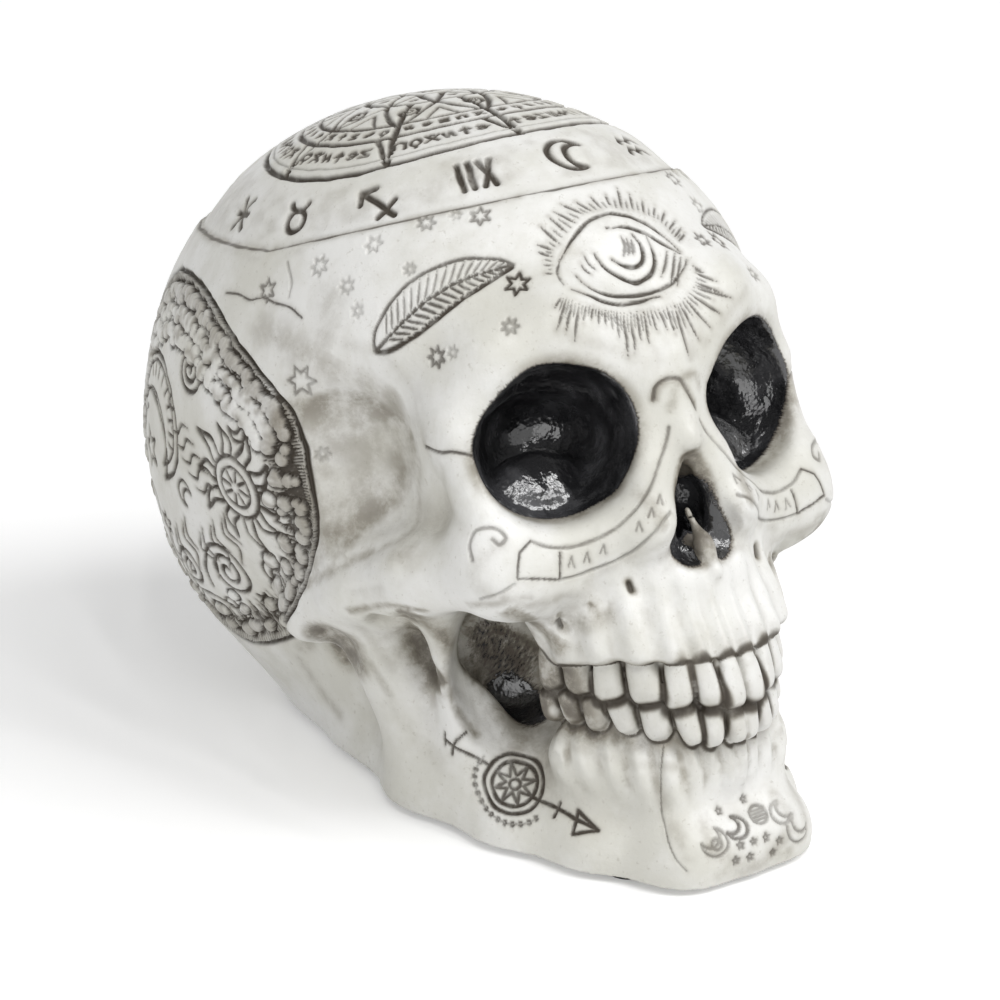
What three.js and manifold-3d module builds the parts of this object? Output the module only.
// A life-size skull ornament: a hollow painted casting on a flat cut base, with a plug that closes its
// hollow from below and four thin pads. Lengths are in millimetres. The skull faces -Y and +Z is up.
// The head is sculpted upright in its own frame, whose origin is the root of the nose: side is to the
// right, fore is towards the face and rise is up. It is then tilted back onto its base.

import * as THREE from 'three';
import { mergeVertices } from 'three/addons/utils/BufferGeometryUtils.js';
import Module from 'manifold-3d';

const wasm = await Module();
wasm.setup();

// Driving dimensions
const headLength = 188; // root of the nose to the back of the head
const headBreadth = 142.6; // across the sides of the head
const crownHeight = 81.7; // root of the nose to the crown
const headTilt = THREE.MathUtils.degToRad(20.5); // how far the face is tipped up
const baseDrop = 113.7; // root of the nose down to the flat base

const wall = 5; // thickness of the casting
const hollowStep = 14; // facet size inside the hollow

const orbitWidth = 37.8;
const orbitHeight = 36.7;
const orbitDepth = 20.7;
const orbitBowlWidth = 31;
const orbitBowlHeight = 24.5;
const orbitBowlDepth = 18.9;
const noseWidth = 17.2;
const noseHeight = 24.6;
const noseDepth = 15;
const septumThickness = 1.6;

const upperCrownWidths = [6.7, 6.3, 8.6, 10.4, 9, 8.6]; // from the middle of the mouth outwards
const lowerCrownWidths = [5.8, 5.9, 6.7, 9, 7.9, 6.8, 6.8];
const upperCrownHeight = 13.5;
const lowerCrownHeight = 13;
const frontCrownThickness = 9.4;
const backCrownThickness = 12.2;
const frontCrowns = 3; // on each side, before the broad back teeth
const crownGap = 0.2; // left on each side of a crown
const archWidth = 63; // across the outside of the back teeth
const archDepth = 41.8;
const lowerArchSetback = 2.9; // the lower front teeth bite behind the upper ones

const plugWidth = 44;
const plugLength = 60;
const plugThickness = 3;
const plugLedge = 4; // how far the plug rests on the casting all round
const plugSetback = 30; // centre of the plug behind the root of the nose
const seatClearance = 0.3;
const padRadius = 5.5;
const padThickness = 1.5;
const frontPadSpread = 21; // from the middle to each side
const rearPadSpread = 26;
const padMargin = 2; // left between a pad and the edge of the base

// Facet sizes of the casting, finer over the face
const faceStep = 5.4;
const sideStep = 6.4;
const vaultStep = 11;

// The head is this many shares long and broad, and its crown is this many shares above the nose root
const lengthShares = 104.5;
const breadthShares = 79.2;
const crownShares = 45.4;
const along = headLength / lengthShares;
const across = headBreadth / breadthShares;
const upward = crownHeight / crownShares;
const evenly = Math.cbrt(along * across * upward);
const at = (side, fore, rise) => [side * across, fore * along, rise * upward];

// Forms whose distances are blended into one sculpted surface
function ellipsoid(p, centre, radii) {
  let far = 0;
  let steep = 0;
  for (let i = 0; i < 3; i++) {
    const share = (p[i] - centre[i]) / radii[i];
    far += share * share;
    steep += (share / radii[i]) ** 2;
  }
  const reach = Math.sqrt(far) + Number.EPSILON;
  return (reach * (reach - 1)) / (Math.sqrt(steep) + Number.EPSILON);
}

function taperedBar(p, a, b, radiusA, radiusB) {
  const run = [b[0] - a[0], b[1] - a[1], b[2] - a[2]];
  const off = [p[0] - a[0], p[1] - a[1], p[2] - a[2]];
  const length2 = run[0] ** 2 + run[1] ** 2 + run[2] ** 2;
  const share = THREE.MathUtils.clamp((off[0] * run[0] + off[1] * run[1] + off[2] * run[2]) / length2, 0, 1);
  const gap = Math.hypot(off[0] - share * run[0], off[1] - share * run[1], off[2] - share * run[2]);
  return gap - radiusA - share * (radiusB - radiusA);
}

function blend(a, b, width) {
  const near = Math.max(width - Math.abs(a - b), 0) / width;
  return Math.min(a, b) - (near * near * width) / 4;
}

const carve = (body, tool, width) => -blend(-body, tool, width);

// The same with the width in shares
const melt = (body, form, share) => blend(body, form, share * evenly);
const sink = (body, tool, share) => carve(body, tool, share * evenly);

// Ellipsoid from a row of shares: side, fore, rise, half breadth, half length, half height
const swell = (p, [side, fore, rise, x, y, z]) => ellipsoid(p, at(side, fore, rise), at(x, y, z));

// Rounded bar through stops of shares: side, fore, rise, radius
function bar(p, stops, blendShare) {
  let body = Infinity;
  for (let i = 1; i < stops.length; i++) {
    const [a, b] = [stops[i - 1], stops[i]];
    const piece = taperedBar(p, at(...a), at(...b), a[3] * evenly, b[3] * evenly);
    body = body === Infinity ? piece : melt(body, piece, blendShare);
  }
  return body;
}

const vaultShares = [
  [0, -52.6, 5.3, 39.6, 51.9, 40.1],
  [0, -31.1, 11.4, 30.5, 24.5, 21.4],
  [0, -74.9, -9.5, 33.1, 26.8, 30.8],
  [0, -61.8, -36.4, 23.0, 30.2, 28.3],
];
const vaultBlendShares = [0, 8, 12, 12];

function vault(p) {
  let body = swell(p, vaultShares[0]);
  for (let i = 1; i < vaultShares.length; i++) {
    body = melt(body, swell(p, vaultShares[i]), vaultBlendShares[i]);
  }
  return body;
}

const templeHollowShare = [36, -21, -5, 9.5, 13, 14];
const browShares = [[3, -3, 3, 3.4], [13, -4, 9.2, 2.6], [20.8, -7.8, 7, 1.9], [25.6, -12, -0.5, 2.2]];
const socketWallShare = [23, -18, -6, 4, 8, 10];
const cheekPostShares = [[25.6, -12.2, -2, 2.5], [25.2, -11, -13, 3.6]];
const cheekBodyShare = [21, -10.5, -19.8, 8.2, 5.5, 6.3];
const cheekArchShares = [
  [25, -13, -19.5, 4.6],
  [29.5, -24, -18.2, 3.8],
  [31, -36, -19.2, 3.8],
  [31, -50, -22.5, 4.2],
];
const cheekFillShare = [26, -34, -20, 6, 16, 5];
const cheekBlendShares = { temple: 6, brow: 9, socketWall: 4, post: 3, body: 5, arch: 6, fill: 5 };
const cheekBarBlendShares = { brow: 4, post: 3, arch: 4 };

function cheeksAndBrow(p, body) {
  let form = sink(body, swell(p, templeHollowShare), cheekBlendShares.temple);
  form = melt(form, bar(p, browShares, cheekBarBlendShares.brow), cheekBlendShares.brow);
  form = melt(form, swell(p, socketWallShare), cheekBlendShares.socketWall);
  form = melt(form, bar(p, cheekPostShares, cheekBarBlendShares.post), cheekBlendShares.post);
  form = melt(form, swell(p, cheekBodyShare), cheekBlendShares.body);
  form = melt(form, bar(p, cheekArchShares, cheekBarBlendShares.arch), cheekBlendShares.arch);
  return melt(form, swell(p, cheekFillShare), cheekBlendShares.fill);
}

// The bite line rises towards the back teeth: shares of rise over shares behind the front teeth
const biteSlopeShare = 0.2;
const biteCurveShare = 1.9;
const biteTurnShare = 5;
const archForeShare = 3.6;
const gumRiseShare = -37;
const biteRise = (behind) => {
  const shares = behind / along;
  return upward * (biteSlopeShare * shares + biteCurveShare * (1 - Math.exp(-shares / biteTurnShare)));
};

const upperJawShare = [0, -13, -33, 17, 14.3, 14];
const upperGumShare = [0, -13, -38, 16.2, 15.7, 9];
const noseSillShares = [[4.6, -1.6, -25.4, 2.2], [0, -1.2, -26.2, 2.4]];
const cheekRootShares = [[21, -11, -20.5, 4], [9, -5, -18, 4.6]];
const molarRootShares = [[16, -14, -21, 5], [13.5, -15, -33, 3]];
const mouthCoreShare = [0, -15, -44, 13, 15, 10];
const upperBlendShares = { gum: 4, sill: 3, cheekRoot: 5, molarRoot: 4, gumEdge: 2.2, core: 1.5 };
const upperBarBlendShares = { sill: 2, cheekRoot: 5, molarRoot: 4 };

function upperJaw(p) {
  const level = p[2] - biteRise(archForeShare * along - p[1]);
  const q = [p[0], p[1], level];
  let form = swell(q, upperJawShare);
  form = melt(form, swell(q, upperGumShare), upperBlendShares.gum);
  form = melt(form, bar(p, noseSillShares, upperBarBlendShares.sill), upperBlendShares.sill);
  form = melt(form, bar(p, cheekRootShares, upperBarBlendShares.cheekRoot), upperBlendShares.cheekRoot);
  form = melt(form, bar(p, molarRootShares, upperBarBlendShares.molarRoot), upperBlendShares.molarRoot);
  form = sink(form, level - gumRiseShare * upward, upperBlendShares.gumEdge);
  return melt(form, swell(q, mouthCoreShare), upperBlendShares.core);
}

const noseBridgeShares = [[0, -2.8, 0, 3.4], [0, 1.6, -9, 2.6]];
const noseFillShare = [3.5, -6.5, -8, 5, 7, 9];
const noseSideShares = [[4.2, -4, -3, 2.4], [5.8, -1.6, -18, 3.2]];
const noseBlendShares = { bridge: 4, fill: 3, side: 4 };
const noseBarBlendShares = { bridge: 4, side: 3 };

function noseRidge(p, body) {
  let form = melt(body, bar(p, noseBridgeShares, noseBarBlendShares.bridge), noseBlendShares.bridge);
  form = melt(form, swell(p, noseFillShare), noseBlendShares.fill);
  return melt(form, bar(p, noseSideShares, noseBarBlendShares.side), noseBlendShares.side);
}

const jawBorderShares = [
  [0, -8.2, -62.6, 6.4],
  [6.5, -9.4, -62.2, 6.4],
  [12.4, -19, -59.5, 6.4],
  [16, -31, -56, 7],
  [17.3, -46, -51, 7],
  [15.5, -62, -46, 7],
];
const lowerGumShares = [[0, -6.8, -52, 4.6], [7, -9, -52, 4.4], [14.6, -21, -47.5, 4.6]];
const ramusShares = [[19, -42, -47, 7], [24, -43, -28, 6]];
const coronoidShares = [[18.5, -33, -47, 5], [24, -28, -25, 2.4]];
const mouthFloorShare = [0, -36, -52, 18, 26, 13];
const jawBlendShares = { gum: 5, ramus: 7, coronoid: 6, floor: 5 };
const jawBarBlendShare = 3;

function lowerJaw(p) {
  let form = bar(p, jawBorderShares, jawBarBlendShare);
  form = melt(form, bar(p, lowerGumShares, jawBarBlendShare), jawBlendShares.gum);
  form = melt(form, bar(p, ramusShares, jawBarBlendShare), jawBlendShares.ramus);
  form = melt(form, bar(p, coronoidShares, jawBarBlendShare), jawBlendShares.coronoid);
  return melt(form, swell(p, mouthFloorShare), jawBlendShares.floor);
}

const ramusGrooveShares = [[30.5, -32, -24.5, 1.7], [28, -29, -36, 1.3]];
const earHollowShare = [33.5, -44.5, -29, 4.5, 3.6, 4];
const headBlendShares = { upperJaw: 4, lowerJaw: 5, grooveTurn: 1, groove: 2.5, ear: 2 };

// Signed distance to the skull without its teeth, eye sockets and nose, below zero inside
function skull(side, fore, rise) {
  const p = [Math.abs(side), fore, rise];
  let body = cheeksAndBrow(p, vault(p));
  body = noseRidge(p, melt(body, upperJaw(p), headBlendShares.upperJaw));
  body = melt(body, lowerJaw(p), headBlendShares.lowerJaw);
  body = sink(body, bar(p, ramusGrooveShares, headBlendShares.grooveTurn), headBlendShares.groove);
  return sink(body, swell(p, earHollowShare), headBlendShares.ear);
}

// The head's frame in the standing ornament: tilted back, with the flat base at the pads' tops
const baseHeight = padThickness + seatClearance;
const stand = new THREE.Matrix4()
  .makeTranslation(0, 0, baseDrop + baseHeight)
  .multiply(new THREE.Matrix4().makeRotationX(-headTilt))
  .multiply(new THREE.Matrix4().makeScale(1, -1, 1));
const lift = stand.clone().invert();

function inHead(x, y, z) {
  const p = new THREE.Vector3(x, y, z).applyMatrix4(lift);
  return [p.x, p.y, p.z];
}

// Below the fullest level of the jaw the head runs straight down, so that it always reaches its base
const footDropShare = 63;
const footLevel = baseHeight + baseDrop - footDropShare * upward;
const onFoot = (x, y, z) => inHead(x, y, Math.max(z, footLevel));

const casting = (x, y, z) => Math.max(skull(...onFoot(x, y, z)), baseHeight - faceStep - z);

function hollow(x, y, z) {
  const [side, fore, rise] = onFoot(x, y, z);
  const p = [Math.abs(side), fore, rise];
  const room = melt(vault(p), swell(p, mouthFloorShare), jawBlendShares.floor) + wall;
  const backOfSockets = fore - (orbitCentreShare[1] + bowlOffsetShare[1]) * along + orbitBowlDepth + wall;
  return Math.max(room, skull(side, fore, rise) + wall, backOfSockets, baseHeight + wall - z);
}

// Lines of a grid from low to high, with steps that grow past a turning point
function gridLines(low, high, fine, coarse, turnLow, turnHigh) {
  const lines = [low];
  while (lines[lines.length - 1] < high) {
    const last = lines[lines.length - 1];
    lines.push(last + (last >= turnLow && last < turnHigh ? fine : coarse));
  }
  return lines;
}

// Closed surface of a distance function over a grid: one point in each crossed cell, joined by quads
function surface(distance, xs, ys, zs) {
  const [nx, ny, nz] = [xs.length, ys.length, zs.length];
  const index = (i, j, k) => (i * ny + j) * nz + k;
  const values = new Float64Array(nx * ny * nz);
  for (let i = 0; i < nx; i++) {
    for (let j = 0; j < ny; j++) {
      for (let k = 0; k < nz; k++) values[index(i, j, k)] = distance(xs[i], ys[j], zs[k]) || Number.EPSILON;
    }
  }
  keepCellsSimple(values, nx, ny, nz, index);

  const points = [];
  const pointOf = new Int32Array(values.length).fill(-1);
  for (let i = 0; i < nx - 1; i++) {
    for (let j = 0; j < ny - 1; j++) {
      for (let k = 0; k < nz - 1; k++) {
        const centre = crossingCentre(values, index, i, j, k, xs, ys, zs);
        if (!centre) continue;
        pointOf[index(i, j, k)] = points.length / 3;
        const low = [xs[i], ys[j], zs[k]];
        const high = [xs[i + 1], ys[j + 1], zs[k + 1]];
        points.push(...ontoSurface(distance, centre, low, high));
      }
    }
  }

  const triangles = [];
  const quad = (a, b, c, d) => {
    const gap = (m, n) => Math.hypot(...[0, 1, 2].map((t) => points[m * 3 + t] - points[n * 3 + t]));
    if (gap(a, c) < gap(b, d)) triangles.push(a, b, c, a, c, d);
    else triangles.push(b, c, d, b, d, a);
  };
  for (let i = 1; i < nx - 1; i++) {
    for (let j = 1; j < ny - 1; j++) {
      for (let k = 1; k < nz - 1; k++) {
        const inside = values[index(i, j, k)] < 0;
        const corner = (a, b, c) => pointOf[index(i - a, j - b, k - c)];
        const join = (a, b, c, d) => (inside ? quad(a, b, c, d) : quad(d, c, b, a));
        if (inside !== values[index(i + 1, j, k)] < 0) {
          join(corner(0, 0, 0), corner(0, 1, 0), corner(0, 1, 1), corner(0, 0, 1));
        }
        if (inside !== values[index(i, j + 1, k)] < 0) {
          join(corner(0, 0, 0), corner(0, 0, 1), corner(1, 0, 1), corner(1, 0, 0));
        }
        if (inside !== values[index(i, j, k + 1)] < 0) {
          join(corner(0, 0, 0), corner(1, 0, 0), corner(1, 1, 0), corner(0, 1, 0));
        }
      }
    }
  }
  const mesh = new wasm.Mesh({
    numProp: 3,
    vertProperties: new Float32Array(points),
    triVerts: new Uint32Array(triangles),
  });
  return new wasm.Manifold(mesh);
}

const cellCorners = [0, 1, 2, 3, 4, 5, 6, 7].map((n) => [n >> 2, (n >> 1) & 1, n & 1]);
const cellEdges = [];
for (let a = 0; a < 8; a++) {
  for (const bit of [1, 2, 4]) if (!(a & bit)) cellEdges.push([a, a | bit]);
}
const cellFaces = [[0, 1, 3, 2], [4, 5, 7, 6], [0, 1, 5, 4], [2, 3, 7, 6], [0, 2, 6, 4], [1, 3, 7, 5]];

// Turns the weakest corner of every cell that two sheets cross, so that each cell holds one sheet
function keepCellsSimple(values, nx, ny, nz, index) {
  let turned = true;
  while (turned) {
    turned = false;
    for (let i = 0; i < nx - 1; i++) {
      for (let j = 0; j < ny - 1; j++) {
        for (let k = 0; k < nz - 1; k++) {
          const cell = cellCorners.map(([a, b, c]) => index(i + a, j + b, k + c));
          const weak = weakCorner(cell.map((n) => values[n]));
          if (weak < 0) continue;
          values[cell[weak]] = -values[cell[weak]];
          turned = true;
        }
      }
    }
  }
}

function weakCorner(v) {
  const inside = v.map((value) => value < 0);
  const weakest = (list) => list.reduce((best, n) => (Math.abs(v[n]) < Math.abs(v[best]) ? n : best));
  for (const [a, b, c, d] of cellFaces) {
    if (inside[a] === inside[c] && inside[b] === inside[d] && inside[a] !== inside[b]) {
      return weakest([a, b, c, d]);
    }
  }
  for (const sign of [true, false]) {
    const group = v.map((_, n) => (inside[n] === sign ? n : -1));
    for (let pass = 0; pass < cellEdges.length; pass++) {
      for (const [a, b] of cellEdges) {
        if (group[a] >= 0 && group[b] >= 0) group[a] = group[b] = Math.min(group[a], group[b]);
      }
    }
    const names = [...new Set(group.filter((n) => n >= 0))];
    if (names.length > 1) {
      const sizes = names.map((name) => group.filter((n) => n === name).length);
      const least = names[sizes.indexOf(Math.min(...sizes))];
      return weakest(group.map((name, n) => (name === least ? n : -1)).filter((n) => n >= 0));
    }
  }
  return -1;
}

function crossingCentre(values, index, i, j, k, xs, ys, zs) {
  const v = cellCorners.map(([a, b, c]) => values[index(i + a, j + b, k + c)]);
  const places = cellCorners.map(([a, b, c]) => [xs[i + a], ys[j + b], zs[k + c]]);
  const sum = [0, 0, 0];
  let count = 0;
  for (const [a, b] of cellEdges) {
    if (v[a] < 0 === v[b] < 0) continue;
    const share = v[a] / (v[a] - v[b]);
    for (let t = 0; t < 3; t++) sum[t] += places[a][t] + share * (places[b][t] - places[a][t]);
    count++;
  }
  return count ? sum.map((value) => value / count) : null;
}

// Moves a point to the true surface, but never out of the middle of its own cell
const surfaceSteps = 4;
const slopeShare = 1e-3; // of the cell, for measuring the slope
const cellMarginShare = 0.04;
function ontoSurface(distance, start, low, high) {
  const p = [...start];
  const size = low.map((value, t) => high[t] - value);
  for (let step = 0; step < surfaceSteps; step++) {
    const d = distance(...p);
    const slope = [0, 1, 2].map((t) => {
      const q = [...p];
      q[t] += size[t] * slopeShare;
      return (distance(...q) - d) / (size[t] * slopeShare);
    });
    const steep = slope[0] ** 2 + slope[1] ** 2 + slope[2] ** 2;
    for (let t = 0; t < 3; t++) {
      const margin = size[t] * cellMarginShare;
      p[t] = THREE.MathUtils.clamp(p[t] - (d * slope[t]) / steep, low[t] + margin, high[t] - margin);
    }
  }
  return p;
}

// Brings a tool from the head's frame to the standing ornament. That frame is mirrored, so two corners
// of each face change places to keep it facing outwards.
function standing(geometry) {
  const flat = geometry.index ? geometry.toNonIndexed() : geometry;
  flat.applyMatrix4(stand);
  const places = flat.attributes.position.array;
  for (let i = 0; i < places.length; i += 9) {
    for (let t = 0; t < 3; t++) {
      [places[i + 3 + t], places[i + 6 + t]] = [places[i + 6 + t], places[i + 3 + t]];
    }
  }
  return solid(flat);
}

// Joining and cutting
function solid(geometry) {
  const bare = geometry.clone();
  bare.deleteAttribute('normal');
  bare.deleteAttribute('uv');
  const merged = mergeVertices(bare);
  const mesh = new wasm.Mesh({
    numProp: 3,
    vertProperties: new Float32Array(merged.attributes.position.array),
    triVerts: new Uint32Array(merged.index.array),
  });
  return new wasm.Manifold(mesh);
}

function geometryOf(body) {
  const mesh = body.getMesh();
  const geometry = new THREE.BufferGeometry();
  const places = new Float32Array(mesh.vertProperties);
  geometry.setAttribute('position', new THREE.BufferAttribute(places, 3));
  geometry.setIndex(new THREE.BufferAttribute(new Uint32Array(mesh.triVerts), 1));
  geometry.computeVertexNormals();
  return geometry;
}

// Dental arch: a rounded horseshoe, walked from its middle by the length along it
const archRoundness = 1.86;
const archRiseShares = { upper: -39.9, lower: -45.9 };
const archWalkSteps = 2000;

function archPoint(run) {
  const halfWidth = archWidth / 2;
  const front = archForeShare * along;
  const inward = (side) => 1 - (side / halfWidth) ** archRoundness;
  const fore = (side) => front - archDepth * (1 - inward(side) ** (1 / archRoundness));
  let length = 0;
  let last = [0, front];
  for (let i = 1; i < archWalkSteps; i++) {
    const side = (halfWidth * i) / archWalkSteps;
    const next = [side, fore(side)];
    length += Math.hypot(next[0] - last[0], next[1] - last[1]);
    const heading = Math.atan2(next[1] - last[1], next[0] - last[0]);
    if (length >= run) return { side, fore: next[1], heading };
    last = next;
  }
  return { side: halfWidth, fore: last[1], heading: -Math.PI / 2 };
}

// One crown: a rounded block that narrows towards its root
const crownFacets = 8;
const crownRings = 5;
const crownSquareness = 3.2;
const upperTaperShare = 0.16;
const lowerTaperShare = -0.2;

function crown(width, thickness, height, taper) {
  const geometry = new THREE.SphereGeometry(1, crownFacets, crownRings);
  const place = geometry.attributes.position;
  for (let i = 0; i < place.count; i++) {
    const dir = [place.getX(i), place.getZ(i), place.getY(i)];
    const far = dir.reduce((sum, value) => sum + Math.abs(value) ** crownSquareness, 0);
    const [u, v, w] = dir.map((value) => value / far ** (1 / crownSquareness));
    const narrowing = (1 - Math.abs(taper)) / (1 + taper * w);
    place.setXYZ(i, (u * narrowing * width) / 2, (-v * thickness) / 2, (w * height) / 2);
  }
  return geometry;
}

function teeth() {
  const crowns = [];
  for (const row of ['upper', 'lower']) {
    const upper = row === 'upper';
    const widths = upper ? upperCrownWidths : lowerCrownWidths;
    const height = upper ? upperCrownHeight : lowerCrownHeight;
    let run = 0;
    widths.forEach((width, place) => {
      const spot = archPoint(run + width / 2);
      const taper = upper ? upperTaperShare : lowerTaperShare;
      const rise = archRiseShares[row] * upward + biteRise(archForeShare * along - spot.fore);
      run += width;
      const thickness = place < frontCrowns ? frontCrownThickness : backCrownThickness;
      const setback = upper ? 0 : lowerArchSetback;
      for (const hand of [-1, 1]) {
        const heading = hand * spot.heading;
        const inward = [hand * Math.sin(spot.heading), Math.cos(spot.heading)];
        const geometry = crown(width - 2 * crownGap, thickness, height, taper);
        geometry.rotateZ(-heading);
        const side = hand * spot.side + (inward[0] * thickness) / 2;
        const fore = spot.fore - (inward[1] * thickness) / 2 - setback;
        geometry.translate(side, -fore, rise);
        geometry.rotateX(-headTilt);
        geometry.translate(0, 0, baseDrop + baseHeight);
        crowns.push(solid(geometry));
      }
    });
  }
  return crowns;
}

// Eye sockets: an oval bowl square to its slanting rim, with a second bowl sunk in its lower half
const orbitCentreShare = [16.2, -5.4, -5];
const orbitOutwardShare = 0.374;
const orbitDownwardShare = 0.343;
const bowlOffsetShare = [-0.6, -6, -2.6];
const socketFacets = 20;
const socketRings = 10;

function socket(hand, offset, width, depth, height) {
  const aim = new THREE.Vector3(hand * orbitOutwardShare, 1, -orbitDownwardShare).normalize();
  const right = new THREE.Vector3(aim.y, -aim.x, 0).normalize();
  const up = new THREE.Vector3().crossVectors(right, aim);
  const [side, fore, rise] = at(...orbitCentreShare);
  const centre = new THREE.Vector3(hand * side, fore, rise)
    .addScaledVector(right, hand * offset[0])
    .addScaledVector(aim, offset[1])
    .addScaledVector(up, offset[2]);
  const geometry = new THREE.SphereGeometry(1, socketFacets, socketRings);
  geometry.rotateX(Math.PI / 2);
  geometry.scale(width / 2, depth, height / 2);
  geometry.applyMatrix4(new THREE.Matrix4().makeBasis(right, aim, up).setPosition(centre));
  return standing(geometry);
}

// Hollow under each cheek, behind the back teeth
const underCheekShare = [20.5, -23, -35.5, 5, 8.5, 9.5];
function underCheek(hand) {
  const [side, fore, rise, x, y, z] = underCheekShare;
  const geometry = new THREE.SphereGeometry(1, socketFacets / 2, socketRings / 2);
  geometry.rotateX(Math.PI / 2);
  geometry.scale(...at(x, y, z));
  const [right, forward, up] = at(side, fore, rise);
  geometry.translate(hand * right, forward, up);
  return standing(geometry);
}

// Nose: two pear halves, one on each side of the septum, sunk straight back
const noseOutlineShares = [[0.3, -0.5], [0.46, -0.42], [0.5, -0.28], [0.43, 0], [0.28, 0.28], [0.12, 0.47]];
const septumFootShare = -0.42;
const noseCentreShare = [0, 5, -17.5];
const noseSteps = 4;

function nostril(hand) {
  const edge = (hand * septumThickness) / 2;
  const outline = new THREE.Shape();
  outline.moveTo(edge, septumFootShare * noseHeight);
  const outward = (x) => hand * Math.max(x * noseWidth, septumThickness / 2);
  const place = ([x, y]) => new THREE.Vector2(outward(x), y * noseHeight);
  outline.splineThru(noseOutlineShares.map(place));
  outline.lineTo(edge, noseOutlineShares[5][1] * noseHeight);
  const depth = noseDepth + noseCentreShare[1] * along;
  const settings = { depth, bevelEnabled: false, curveSegments: noseSteps };
  const geometry = new THREE.ExtrudeGeometry(outline, settings);
  geometry.rotateX(Math.PI / 2);
  const [side, fore, rise] = at(...noseCentreShare);
  geometry.translate(side, fore, rise);
  return standing(geometry);
}

// Oval plug, and the seat that it drops into from below
const ovalFacets = 40;
function oval(width, length, bottom, top) {
  const outline = new THREE.Shape();
  outline.absellipse(0, plugSetback, width / 2, length / 2, 0, 2 * Math.PI);
  const settings = { depth: top - bottom, bevelEnabled: false, curveSegments: ovalFacets };
  return new THREE.ExtrudeGeometry(outline, settings).translate(0, 0, bottom);
}

// Casting
const overrun = 12; // past the head all round, for the grids and the cutting tools
const chinForward = 45;
const faceDepth = 66;
const headFront = -chinForward - overrun;
const headBack = headLength + overrun;
const headHalf = headBreadth / 2 + overrun;
const headTop = baseDrop + crownHeight + 2 * overrun;

function castSkull() {
  const xs = gridLines(-headHalf, headHalf, sideStep, sideStep, 0, 0);
  const ys = gridLines(headFront, headBack, faceStep, vaultStep, headFront, headFront + faceDepth);
  const zs = gridLines(-overrun, headTop, faceStep, vaultStep, -overrun, baseDrop + overrun);
  let body = surface(casting, xs, ys, zs);
  for (const hand of [-1, 1]) {
    const orbit = socket(hand, [0, 0, 0], orbitWidth, orbitDepth, orbitHeight);
    const bowl = socket(hand, at(...bowlOffsetShare), orbitBowlWidth, orbitBowlDepth, orbitBowlHeight);
    body = body.subtract(orbit).subtract(bowl);
    body = body.subtract(nostril(hand)).subtract(underCheek(hand));
  }
  for (const tooth of teeth()) body = body.add(tooth);
  const lines = (low, high) => gridLines(low, high, hollowStep, hollowStep, 0, 0);
  const hollowGrid = [lines(-headHalf, headHalf), lines(headFront, headBack), lines(-overrun, headTop)];
  body = body.subtract(surface(hollow, ...hollowGrid));
  const floor = new THREE.BoxGeometry(2 * headHalf, 2 * headBack, 2 * overrun);
  floor.translate(0, headBack / 2, baseHeight - overrun);
  body = body.subtract(solid(floor));
  const seatTop = baseHeight + plugThickness + seatClearance;
  const gap = 2 * seatClearance;
  const ledge = 2 * plugLedge;
  body = body.subtract(solid(oval(plugWidth + gap, plugLength + gap, -overrun, seatTop)));
  return body.subtract(solid(oval(plugWidth - ledge, plugLength - ledge, -overrun, baseHeight + 3 * wall)));
}

const finish = (name, color, roughness) => new THREE.MeshStandardMaterial({ name, color, roughness });
const bone = finish('bone', 0xcdcabf, 0.55);
const plugFinish = finish('plug', 0x2a2826, 0.7);
const padFinish = finish('pad', 0x1c1c1c, 0.95);

const ornament = new THREE.Group();
function addPiece(name, geometry, material) {
  const mesh = new THREE.Mesh(geometry, material);
  mesh.name = name;
  ornament.add(mesh);
  return mesh;
}

const skullCasting = addPiece('skull_casting', geometryOf(castSkull()), bone);
addPiece('base_plug', oval(plugWidth, plugLength, baseHeight, baseHeight + plugThickness), plugFinish);

// Walks from the plug towards the front or the back, as far as a pad still lies inside the base's edge
const padWalkShare = 0.005; // of the head's length, for each step
function padPlace(spread, way) {
  const step = way * padWalkShare * headLength;
  const room = (y) => -skull(...onFoot(spread, y, baseHeight)) - padRadius - padMargin;
  let y = plugSetback + (way * plugLength) / 2;
  while (room(y + step) > 0) y += step;
  return y;
}

const padFacets = 24;
const padRows = { front: [frontPadSpread, -1], rear: [rearPadSpread, 1] };
for (const [row, [spread, way]] of Object.entries(padRows)) {
  for (const [hand, side] of [['left', 1], ['right', -1]]) {
    const pad = new THREE.CylinderGeometry(padRadius, padRadius, padThickness, padFacets);
    pad.rotateX(Math.PI / 2);
    pad.translate(side * spread, padPlace(spread, way), padThickness / 2);
    addPiece(`foot_pad_${row}_${hand}`, pad, padFinish);
  }
}

// The origin lies on the floor, below the middle of the ornament
skullCasting.geometry.computeBoundingBox();
const { min, max } = skullCasting.geometry.boundingBox;
ornament.position.y = -(min.y + max.y) / 2;

export default ornament;
